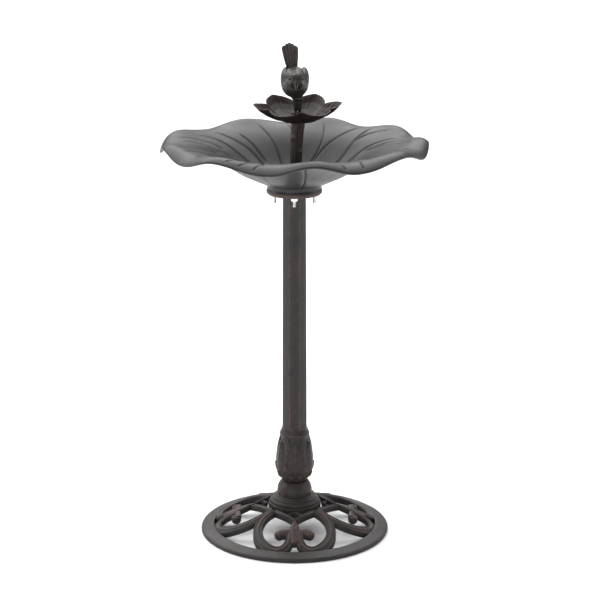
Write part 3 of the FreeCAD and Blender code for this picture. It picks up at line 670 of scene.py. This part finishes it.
# The leaf's veins from the rim inwards: distance from the middle, then angle from the front, round by +X
VEINS = (
    ((208, 255), (182, 241), (146, 236), (112, 236), (60, 238)),
    ((200, 231), (157, 225), (129, 221), (98, 220), (60, 222)),
    ((211, 270), (180, 259), (147, 254), (118, 248)),
    ((208, 289), (169, 272), (136, 262)),
    ((216, 299), (174, 288), (140, 279), (90, 270), (60, 262)),
    ((178, 217), (132, 214), (90, 214)),
    ((205, 201), (150, 197), (84, 196), (56, 198)),
    ((206, 165), (133, 159), (92, 160), (56, 166)),
    ((207, 142), (154, 150), (128, 154), (88, 158)),
    ((210, 135), (161, 135), (127, 131), (92, 127), (56, 128)),
    ((208, 121), (181, 131), (155, 134)),
    ((210, 104), (169, 113), (141, 116), (108, 113), (56, 108)),
    ((212, 84), (168, 103), (136, 112)),
    ((218, 62), (172, 78), (130, 87), (88, 92), (56, 92)),
    ((214, 74), (190, 76), (160, 82)),
    ((226, 339), (190, 336), (140, 334), (56, 330)),
    ((223, 347), (184, 343), (150, 337)),
    ((221, 353), (180, 3), (130, 8), (56, 12)),
    ((218, 14), (186, 9), (150, 6)),
    ((215, 38), (160, 41), (110, 48), (56, 52)),
    ((212, 318), (168, 310), (120, 302), (56, 300)),
    ((216, 309), (186, 304), (150, 306)),
    ((214, 185), (160, 181), (110, 180), (56, 181)),
    ((213, 262), (176, 250), (140, 245)),
    ((209, 279), (172, 266), (134, 255)),
    ((214, 95), (178, 105), (148, 109)),
    ((222, 52), (182, 66), (134, 76)),
    ((235, 330), (222, 332), (206, 335)),
    ((236, 336), (222, 338), (204, 341)),
    ((235, 343), (221, 344), (208, 346)),
    ((236, 22), (222, 21), (206, 18)),
    ((235, 30), (222, 31), (206, 33)),
)


def vein_field(radius, angle):
    """How deep each point lies in a vein, from 0 to 1.

    A vein is broadest on the side lobes and near the middle, and fades where it begins and ends.
    """
    depth = np.zeros(np.broadcast(radius, angle).shape)
    for vein in VEINS:
        reach = np.array([place[0] for place in vein], float)[::-1]
        turns = np.unwrap(np.radians([place[1] for place in vein]))[::-1] - math.pi / 2
        line = spline(np.stack([reach, turns * 130], axis=1), 60)
        centre = np.interp(radius, line[:, 0], line[:, 1] / 130)
        away = np.abs((angle - centre + math.pi) % TAU - math.pi) * radius
        share = (radius - reach[0]) / (reach[-1] - reach[0])
        fade = smooth_step(-0.06, 0.08, share) * (1 - smooth_step(0.82, 1.03, share))
        width = (2.1 - 0.7 * np.clip(share, 0, 1)) * (1 + np.cos(angle) ** 2)
        np.maximum(depth, np.exp(-(away / width) ** 2) * fade, out=depth)
    return depth


def bowl():
    """The lily leaf: neck and underside, then over the lip and back across the veined inside.

    The inside has painted shade towards the middle: darker and less shiny.
    """
    angle = full_turn(BOWL_COLUMNS)
    neck = rounded(NECK, 0.8, 3)
    under = spline(LEAF_UNDER, 34, 1.3)[1:]
    lip = np.array([(238.6, 77.2), (239, 78.4), (238.9, 79.6)])
    inside = spline(LEAF_INSIDE, 58, 1.3)[::-1]
    path = np.vstack([neck, under, lip, inside])
    below = np.arange(len(path))[:, None] < len(neck) + len(under)
    radius, height = path[:, :1], path[:, 1:2]
    on_leaf = (height > 10.7) & (radius > 50)
    veins = vein_field(radius, angle) * on_leaf
    swell = LOBE_SWELL * smooth_step(LOBES_FROM, LOBES_TO, radius) ** 1.8 * lobe_wave(angle)
    lumps = 0.5 * ripple(6 * angle, radius / 34) * smooth_step(70, 130, radius)
    sink = veins * np.where(below, VEIN_HOLLOW, -VEIN_SINK)
    upright = BOWL_FOOT + height + (swell + lumps + sink) * on_leaf
    wear = smooth_step(236.4, 238.8, radius) * np.where(below, 1.0, 0.4)
    # painted shade: darker and less shiny towards the middle of the inside
    middle_shade = 0.75 * (1 - smooth_step(MIDDLE_SHADE_FROM, MIDDLE_SHADE_TO, radius))
    shape = Shape()
    # groove values here carry painted shade: in the veins, and over the middle of the inside
    shape.grid(around(radius, angle, upright), wear=wear,
               groove=np.where(below, 0.3 * veins, np.maximum(veins, middle_shade)), caps=True)
    shape.piece("lily_bowl", LEAF, "leaf_grey", "bowl", sharp=70)


# ------------------------ stem and dish

def stem():
    """The leaning stalk with ridged bark, a few knots, and a flare under the dish."""
    foot, top = STEM_LOW[2], STEM_HIGH[2] + 1
    share = np.linspace(0, 1, 200)[:, None]
    angle = full_turn(144)
    height = foot + share * (top - foot)
    radius = np.interp(share, (0, 0.06, 0.3, 0.6, 0.85, 0.95, 1), (11.6, 10.6, 10.3, 10.9, 11.6, 12.2, 12.6))
    furrow = np.abs(np.sin(4.5 * angle + 0.5 * np.sin(height / 9) + 0.7 * ripple(2 * angle, height / 21)))
    bark = 0.9 * furrow ** 0.6 - 0.7 + 0.35 * ripple(7 * angle, height / 4)
    knots = ((0.22, -2.0, 1.5), (0.47, -0.9, 1.8), (0.71, -2.3, 1.6), (0.6, 1.2, 1.7), (0.3, 2.4, 1.4))
    for at, turn, size in knots:
        aside = np.abs((angle - turn + math.pi) % TAU - math.pi)
        bark = bark + size * np.exp(-(aside / 0.45) ** 2 - ((share - at) / 0.035) ** 2)
    bark = bark * smooth_step(0, 0.03, share)
    x = STEM_FOOT_X + share * (DISH_X - STEM_FOOT_X) + 0.8 * np.sin(height / 17)
    shape = Shape()
    # groove values: painted shade in the furrows of the bark
    shape.grid(around(radius + bark, angle, height, x, 0.8 * np.sin(height / 23)),
               wear=np.clip(0.9 * furrow ** 2 - 0.2, 0, 1),
               groove=0.8 * (1 - smooth_step(0, 0.35, furrow)), caps=True)
    shape.piece("bark_stem", BARK, "ornament_bronze", "stem", sharp=80)


PETALS = 6
PETAL_TURN = math.radians(6)
PETAL_TIP = 79
PETAL_NOTCH = 60
# Height of the dish's underside over the stem, lift of a petal's middle and droop of the petals in front, at
# shares of the way to the edge
DISH_SHARES = (0, 0.3, 0.5, 0.7, 0.86, 1)
DISH_HEIGHT = (0, 1.5, 5, 11, 17, 24)
DISH_LIFT = (0, 0, 0.5, 1.5, 4, 9)
DISH_DROOP = (0, 0, 0.5, 2, 6, 13)
PETAL_POINT = 0.55


def dish_sheet(share, angle, rise, veined):
    """One side of the dish at shares of the way to the edge: cupped petals with a crease between each two."""
    across = ((angle - PETAL_TURN + math.pi / PETALS) % (TAU / PETALS)) * PETALS / math.pi - 1
    petal = (1 - PETAL_POINT) * (1 - np.abs(across) ** 2.2) + PETAL_POINT * (1 - np.abs(across))
    reach = 3 + share * (PETAL_NOTCH + (PETAL_TIP - PETAL_NOTCH) * petal - 3)
    front, behind = np.maximum(0, -np.sin(angle)), np.maximum(0, np.sin(angle))
    height = (np.interp(share, DISH_SHARES, DISH_HEIGHT) + petal * np.interp(share, DISH_SHARES, DISH_LIFT)
              - petal * (front - behind / 2) * np.interp(share, DISH_SHARES, DISH_DROOP))
    height = height + 3.2 * across ** 2 * share ** 3
    from_crease = (1 - np.abs(across)) * reach * math.pi / PETALS
    crease = np.exp(-(from_crease / 1.1) ** 2) * smooth_step(0.2, 0.55, share)
    lines = np.cos(TAU * 4 * across) * smooth_step(0.25, 0.5, share) * (1 - smooth_step(0.9, 0.98, share))
    wrinkle = 0.5 * ripple(11 * angle, share * 6) * smooth_step(0.4, 0.8, share)
    height = height + rise - 1.6 * crease + (0.4 * lines if veined else 0.15 * lines) + wrinkle
    rows = around(reach, angle, DISH_LOW[2] + height, DISH_X)
    # groove values: painted shade in the creases and in the low lines of the veined inside
    return rows, np.clip(crease + 0.35 * (lines < -0.55) * veined, 0, 1)


def lotus_dish():
    """The dish as one closed sheet: the underside, over the edge, and back across the veined inside."""
    angle = full_turn(600)
    out = np.linspace(0, 1, 34)[:, None] ** 0.8
    back = 1 - np.linspace(0, 1, 62)[:, None] ** 1.15
    thick = 3.6 - 1.6 * back
    under, under_groove = dish_sheet(out, angle, 0, False)
    inside, inside_groove = dish_sheet(back * 0.988, angle, thick, True)
    edge, edge_groove = dish_sheet(np.full((1, 1), 1.004), angle, 1.0, False)
    shape = Shape()
    brim = np.concatenate([smooth_step(0.95, 1, out), [[1.0]], smooth_step(0.93, 0.99, back)])
    shape.grid(np.concatenate([under, edge, inside]), wear=0.2 + 1.1 * brim,
               groove=np.concatenate([under_groove, edge_groove, inside_groove]), caps=True)
    shape.piece("lotus_petals", ORNAMENT, "ornament_bronze", "lotus_dish", sharp=75)


# ------------------------ bird

BIRD_PITCH = math.radians(24)
BIRD_BODY = np.array((DISH_X - 5, 0, 839.0))
BIRD_HEAD = BIRD_BODY + (2.5, -29, 7.5)
BIRD_FOOT = np.array((DISH_X, 0, 771.0))
ALONG = np.array((0, math.cos(BIRD_PITCH), math.sin(BIRD_PITCH)))
UPWARD = np.array((0, -math.sin(BIRD_PITCH), math.cos(BIRD_PITCH)))
TAIL_ROOT = BIRD_BODY + (-4.5, 25, 13)
# The fan of the tail ends a little above the plain CAD tail
TAIL_TIP = np.array((BIRD_BODY[0] - 10, 34, BIRD_HIGH[2] + 6))
BIRD_STEP = 0.95


def length(vectors):
    return np.sqrt((vectors * vectors).sum(axis=-1))


def egg(points, centre, radii, pitch=BIRD_PITCH):
    """Distance to an egg shape whose long way is tipped by the pitch; true near its surface."""
    away = points - centre
    c, s = math.cos(pitch), math.sin(pitch)
    local = np.stack([away[:, 0], c * away[:, 1] + s * away[:, 2], c * away[:, 2] - s * away[:, 1]], axis=1)
    local = local / np.array(radii)
    share = length(local)
    return share * (share - 1) / np.maximum(length(local / np.array(radii)), 1e-6)


def limb(points, start, end, thick, thin):
    """Distance to a tapering limb with round ends."""
    start, way = np.array(start, float), np.array(end, float) - start
    along = np.clip((points - start) @ way / (way @ way), 0, 1)
    return length(points - start - along[:, None] * way) - (thick + (thin - thick) * along)


def blend(first, second, width):
    """The union of two distances with a fillet."""
    share = np.clip(0.5 + 0.5 * (second - first) / width, 0, 1)
    return second * (1 - share) + first * share - width * share * (1 - share)


def wing_distance(points, side):
    return egg(points, BIRD_BODY + (side * 16.2, 5, 3), (8.4, 30, 15.5), BIRD_PITCH + math.radians(4))


def bird_skin(points):
    """Distance to the bird: body, breast, rump, neck, head, beak, eyes, wings, legs, toes and stump."""
    skin = egg(points, BIRD_BODY, (22.8, 33, 23.2))
    skin = blend(skin, egg(points, BIRD_BODY + (0, -9, -4), (21.5, 21, 20)), 8)
    skin = blend(skin, limb(points, BIRD_BODY + (-1, 17, 8), TAIL_ROOT + (-1, 4, 8), 13, 8), 9)
    skin = blend(skin, limb(points, BIRD_BODY + (1, -12, 6), BIRD_HEAD, 15, 12), 6)
    skin = blend(skin, egg(points, BIRD_HEAD, (13.4, 14.4, 13.4)), 2)
    for side in (-1, 1):
        socket = length(points - (BIRD_HEAD + (side * 11.6, -6.5, 3.2)))
        skin = skin + 0.7 * np.exp(-((socket - 2.6) / 0.9) ** 2)
        skin = np.minimum(skin, socket - 2.1)
        skin = blend(skin, wing_distance(points, side), 1.0)
    beak = limb(points, BIRD_HEAD + (0, -10, -5), BIRD_HEAD + (-0.3, -18.5, -15.5), 4.6, 0.9)
    skin = blend(skin, beak, 1.6)
    for side in (-1, 1):
        knee = BIRD_FOOT + (side * 3.8, 0, 38)
        heel = BIRD_FOOT + (side * 3, 0, 16)
        skin = blend(skin, limb(points, BIRD_BODY + (side * 8, 2, -15), knee, 7.5, 5.2), 3)
        skin = blend(skin, limb(points, knee, heel, 4.4, 3.4), 1.5)
        for spread in (-0.35, 0.15, 0.65):
            toe = BIRD_FOOT + (side * (4.2 + 10 * spread), -10.5, 12.5)
            skin = blend(skin, limb(points, heel - (0, 0, 2.4), toe, 2.2, 1.4), 1)
    aside, high = points[:, 0] - BIRD_FOOT[0], points[:, 2] - BIRD_FOOT[2]
    ridges = 0.35 * np.sin(5 * np.arctan2(points[:, 1], aside) + 0.2 * high)
    stump = np.hypot(aside, points[:, 1]) - 7.4 - 0.08 * np.abs(high - 10) - ridges
    return blend(skin, -blend(-stump, 7 - np.abs(high - 6), 3), 1.5)


def feathers(points):
    """Relief of the plumage: overlapping scallops on the body, long feathers on the wings."""
    away = points - BIRD_BODY
    along, up = away @ ALONG, away @ UPWARD
    turn = np.arctan2(away[:, 0], up)
    row = np.floor((along + 60) / 4.2)
    into = (along + 60) / 4.2 - row
    column = (turn / math.radians(19) + 0.5 * (row % 2)) % 1 - 0.5
    scallop = into * (1 - (2 * column) ** 2)
    plumage = 0.42 * scallop * smooth_step(-34, -20, along) * smooth_step(-24, -14, up)
    wing = np.minimum(wing_distance(points, -1), wing_distance(points, 1))
    on_wing = smooth_step(0.8, 0.1, np.abs(wing)) * (points[:, 2] > BIRD_BODY[2] - 22)
    slot = (up - 0.22 * along + 40) / 4.4
    quill = np.abs(slot - np.floor(slot) - 0.5) * 2
    long_feather = 0.75 * (1 - quill ** 3) * smooth_step(-6, 2, along)
    covert = 0.5 * scallop * (1 - smooth_step(-6, 2, along))
    return plumage * (1 - on_wing) + (long_feather + covert) * on_wing


def surface_net(distance, low, high, step):
    """Four-sided faces about the zero of a distance, with one point in each grid cell that it crosses."""
    axes = [np.arange(a, b, step) for a, b in zip(low, high)]
    place = np.stack(np.meshgrid(*axes, indexing="ij"), axis=-1)
    inside = (distance(place.reshape(-1, 3)) < 0).reshape(place.shape[:3])
    corners = sum(inside[i:i - 1 or None, j:j - 1 or None, k:k - 1 or None].astype(int)
                  for i in (0, 1) for j in (0, 1) for k in (0, 1))
    crossed = (corners > 0) & (corners < 8)
    number = np.full(crossed.shape, -1)
    number[crossed] = np.arange(crossed.sum())
    faces = []
    for axis in range(3):
        first = np.moveaxis(inside, axis, 0)
        cells = np.moveaxis(number, axis, 0)
        change = (first[1:] != first[:-1])[:, 1:-1, 1:-1]
        quads = np.stack([cells[:, 1:, 1:][change], cells[:, :-1, 1:][change], cells[:, :-1, :-1][change],
                          cells[:, 1:, :-1][change]], axis=1)
        faces.append(quads)
    return place[:-1, :-1, :-1][crossed] + step / 2, np.concatenate(faces)


def slope(distance, points, gap=0.12):
    """The unit gradient of a distance."""
    parts = [distance(points + gap * axis) - distance(points - gap * axis) for axis in np.eye(3)]
    gradient = np.stack(parts, axis=1)
    return gradient / np.maximum(length(gradient), 1e-9)[:, None]


def drawn_to(distance, points, rounds):
    """The points moved along the gradient onto the zero of a distance."""
    for _ in range(rounds):
        points = points - np.clip(distance(points), -1, 1)[:, None] * slope(distance, points)
    return points


def relaxed(points, faces):
    """Each point moved to the middle of the faces about it."""
    middle = points[faces].mean(axis=1)
    total, count = np.zeros_like(points), np.zeros(len(points))
    for corner in range(4):
        np.add.at(total, faces[:, corner], middle)
        np.add.at(count, faces[:, corner], 1)
    return total / np.maximum(count, 1)[:, None]


def subdivided(points, faces):
    """Each face split in four by one level of subdivision."""
    mesh = bpy.data.meshes.new("work")
    mesh.from_pydata(points, [], faces.tolist())
    obj = bpy.data.objects.new("work", mesh)
    bpy.context.scene.collection.objects.link(obj)
    obj.modifiers.new("split", "SUBSURF").levels = 1
    fine = obj.evaluated_get(bpy.context.evaluated_depsgraph_get()).to_mesh()
    out = np.empty(len(fine.vertices) * 3)
    fine.vertices.foreach_get("co", out)
    quads = np.empty(len(fine.polygons) * 4, int)
    fine.polygons.foreach_get("vertices", quads)
    obj.to_mesh_clear()
    bpy.data.objects.remove(obj)
    bpy.data.meshes.remove(mesh)
    return out.reshape(-1, 3), quads.reshape(-1, 4)


def tail_fan(shape):
    """A fan of five feathers with rounded ends, pointed in the middle and slightly hollow in front."""
    along = np.linspace(0, 1, 90)[:, None]
    across = np.linspace(-1, 1, 101)[None, :]
    feather = (across + 1) * 2.5
    middle = np.abs(feather - np.floor(feather) - 0.5) * 2
    end = 1 - 0.16 * np.abs(across) ** 1.3 - 0.03 * middle ** 2
    half = np.interp(along, (0, 0.15, 0.5, 0.86, 1), (8.5, 9.4, 12.2, 14.3, 14.6))
    way = TAIL_TIP - TAIL_ROOT
    normal = np.array((0, -way[2], way[1])) / math.hypot(way[1], way[2])
    bow = 4 * along * (1 - along) - 2.2 * across ** 2
    relief = 0.55 * (1 - middle ** 2) + 0.3 * np.exp(-(middle / 0.12) ** 2)
    spine = TAIL_ROOT + (along * end)[..., None] * way + (half * across)[..., None] * np.array((1, 0, 0))
    thick = (1.7 - 0.7 * along)[..., None]
    front = spine + (relief - bow)[..., None] * normal + thick * normal
    back = spine - (relief + bow)[..., None] * normal - thick * normal
    # groove values: painted shade in the joins between the tail feathers
    shape.plate(front, back, wear=0.9, groove=0.7 * smooth_step(0.86, 1, middle) + 0 * along)


def bird():
    """The bird's skin, smoothed and then raised by its plumage, with the tail's fan."""
    low = np.array((BIRD_BODY[0] - 29, -52, BIRD_FOOT[2] - 4))
    high = np.array((BIRD_BODY[0] + 29, 46, BIRD_BODY[2] + 40))
    points, faces = surface_net(bird_skin, low, high, BIRD_STEP)
    points = drawn_to(bird_skin, points, 2)
    for _ in range(3):
        points = drawn_to(bird_skin, relaxed(points, faces), 1)
    points, faces = subdivided(points, faces)
    points = drawn_to(bird_skin, points, 2)
    relief = feathers(points)
    points = points + relief[:, None] * slope(bird_skin, points)
    shape = Shape()
    # groove values: painted shade in the creases between the feathers
    shape.add(points, faces.tolist(), wear=0.15, groove=0.5 * smooth_step(0.12, 0.02, relief))
    tail_fan(shape)
    shape.piece("garden_bird", BIRD, "ornament_bronze", "bird", sharp=80)


# ------------------------ fasteners

Thread = namedtuple("Thread", "radius pitch flats")
M6 = Thread(3, 1.0, 10)
M8 = Thread(4, 1.25, 13)
M10 = Thread(5, 1.5, 17)
BOLT_HEAD = 4
SCREW_HEAD = 5.5
ROD_THREAD = 40


def round_rows(radius, height, centre, turn=0.0):
    """Rings about a centre from radii and heights over (row, angle), turned about the column's axis."""
    angle = full_turn(radius.shape[1])
    return about_axis(centre[0] + radius * np.cos(angle), centre[1] + radius * np.sin(angle),
                      height + 0 * radius, turn)


def hexagon(shape, flats, bore, foot, top, centre=(0, 0), turn=0.0):
    """A hexagon with chamfered corners; with a bore it is a nut, without one a bolt's head."""
    angle = full_turn(72)
    wall = flats / 2 / np.cos(angle % (math.pi / 3) - math.pi / 6)
    depth = np.array((0, 0.1, 0.25, 0.5, 1.0, 1.6)) * flats / 16
    limit = flats / 2 * 0.95 + 1.75 * depth[:, None]
    side = np.minimum(wall, limit)
    radius = np.concatenate([side, side[::-1]])
    height = np.concatenate([foot + depth, top - depth[::-1]])
    if bore:
        hole = 0 * wall + bore
        radius = np.concatenate([hole, 1.12 * hole, radius, 1.12 * hole, hole, hole])
        countersink = 0.12 * bore
        height = np.concatenate([[foot + countersink, foot], height,
                                 [top, top - countersink, foot + countersink]])
    shape.grid(round_rows(radius, height[:, None], centre, turn), wear=0.3, caps=not bore)


def threaded(shape, thread, foot, top, centre=(0, 0), turn=0.0, ends=None):
    """A rod with a rolled thread over its whole length, or over a length from each end."""
    radius, pitch = thread.radius, thread.pitch
    angle = full_turn(28)
    run = np.arange(foot, top, pitch / 5) if ends is None else np.concatenate(
        [np.arange(foot, foot + ends, pitch / 5), np.arange(top - ends, top, pitch / 5)])
    height = np.append(run, top)[:, None]
    phase = (height / pitch - angle / TAU) % 1
    depth = 0.55 * pitch * (1 - np.abs(2 * phase - 1))
    if ends is not None:
        depth = depth * ((height < foot + ends - pitch) | (height > top - ends + pitch))
    nose = radius - 0.8 * pitch + np.minimum(height - foot, top - height)
    shape.grid(round_rows(np.minimum(radius - depth, nose), height, centre, turn), wear=0.2, caps=True)


def disc(shape, radius, bore, foot, top, centre=(0, 0), turn=0.0):
    """A washer or seal with rounded edges."""
    outline = rounded([(bore, (foot + top) / 2), (bore, foot), (radius, foot), (radius, top), (bore, top),
                       (bore, (foot + top) / 2)], (top - foot) * 0.35)
    radii = np.repeat(outline[:, :1], 48, axis=1)
    shape.grid(round_rows(radii, outline[:, 1:2], centre, turn), wear=0.2)


def fasteners():
    """Bolts, nuts, washers, seals, the rod and the stud, with threads, chamfers and rounded edges."""
    front = (0, (box_mm("bowl_nuts")[0][1] + box_mm("bowl_bolts")[0][1]) / 2 + 5.4)
    foot_x = (STEM_FOOT_X, 0)

    def made(name, material, slot, node, build):
        shape = Shape()
        low, high = box_mm(node)
        build(shape, low[2], high[2])
        shape.piece(name, material, slot, node, sharp=35)

    def bolts(shape, foot, top):
        for turn in QUARTERS:
            threaded(shape, M6, foot, top - BOLT_HEAD, front, turn)
            hexagon(shape, M6.flats, 0, top - BOLT_HEAD, top, front, turn)

    def four(kind, *sizes):
        def build(shape, foot, top):
            for turn in QUARTERS:
                kind(shape, *sizes, foot, top, front, turn)
        return build

    def one(kind, *sizes, centre=(0, 0)):
        return lambda shape, foot, top: kind(shape, *sizes, foot, top, centre)

    def rod(shape, foot, top):
        threaded(shape, M10, foot, top, ends=ROD_THREAD)

    def screw(shape, foot, top):
        threaded(shape, M8, foot + SCREW_HEAD - 0.5, top, foot_x)
        hexagon(shape, M8.flats, 0, foot, foot + SCREW_HEAD, foot_x)

    made("plate_bolts", ZINC, "zinc", "bowl_bolts", bolts)
    made("plate_nuts", ZINC, "zinc", "bowl_nuts", four(hexagon, M6.flats, M6.radius))
    made("plate_washers", ZINC, "zinc", "bowl_bolt_washers", four(disc, 6.2, 3.3))
    made("bolt_seals", RUBBER, "black_rubber", "bowl_bolt_seals", four(disc, 7, 3))
    made("long_rod", ZINC, "zinc", "tie_rod", rod)
    made("rod_foot_nut", ZINC, "zinc", "tie_rod_foot_nut", one(hexagon, M10.flats, M10.radius))
    made("rod_foot_washer", ZINC, "zinc", "tie_rod_foot_washer", one(disc, 16, 5.3))
    made("rod_cap_nut", ZINC, "zinc", "tie_rod_cap_nut", one(hexagon, M10.flats, M10.radius))
    made("rod_cap_washer", ZINC, "zinc", "tie_rod_cap_washer", one(disc, 10, 5.3))
    made("stalk_screw", ZINC, "zinc", "stem_screw", screw)
    made("stalk_washer", ZINC, "zinc", "stem_washer", one(disc, 8, 4.3, centre=foot_x))
    made("stalk_seal", RUBBER, "black_rubber", "stem_seal", one(disc, 11, 4, centre=foot_x))
    made("perch_stud", ZINC, "zinc", "bird_stud", one(threaded, M6, centre=(DISH_X, 0)))


# ------------------------ everything

set_scene()
base_casting()
base_collar()
leaf_bulb()
column_tube()
column_cap()
bowl()
stem()
lotus_dish()
bird()
fasteners()
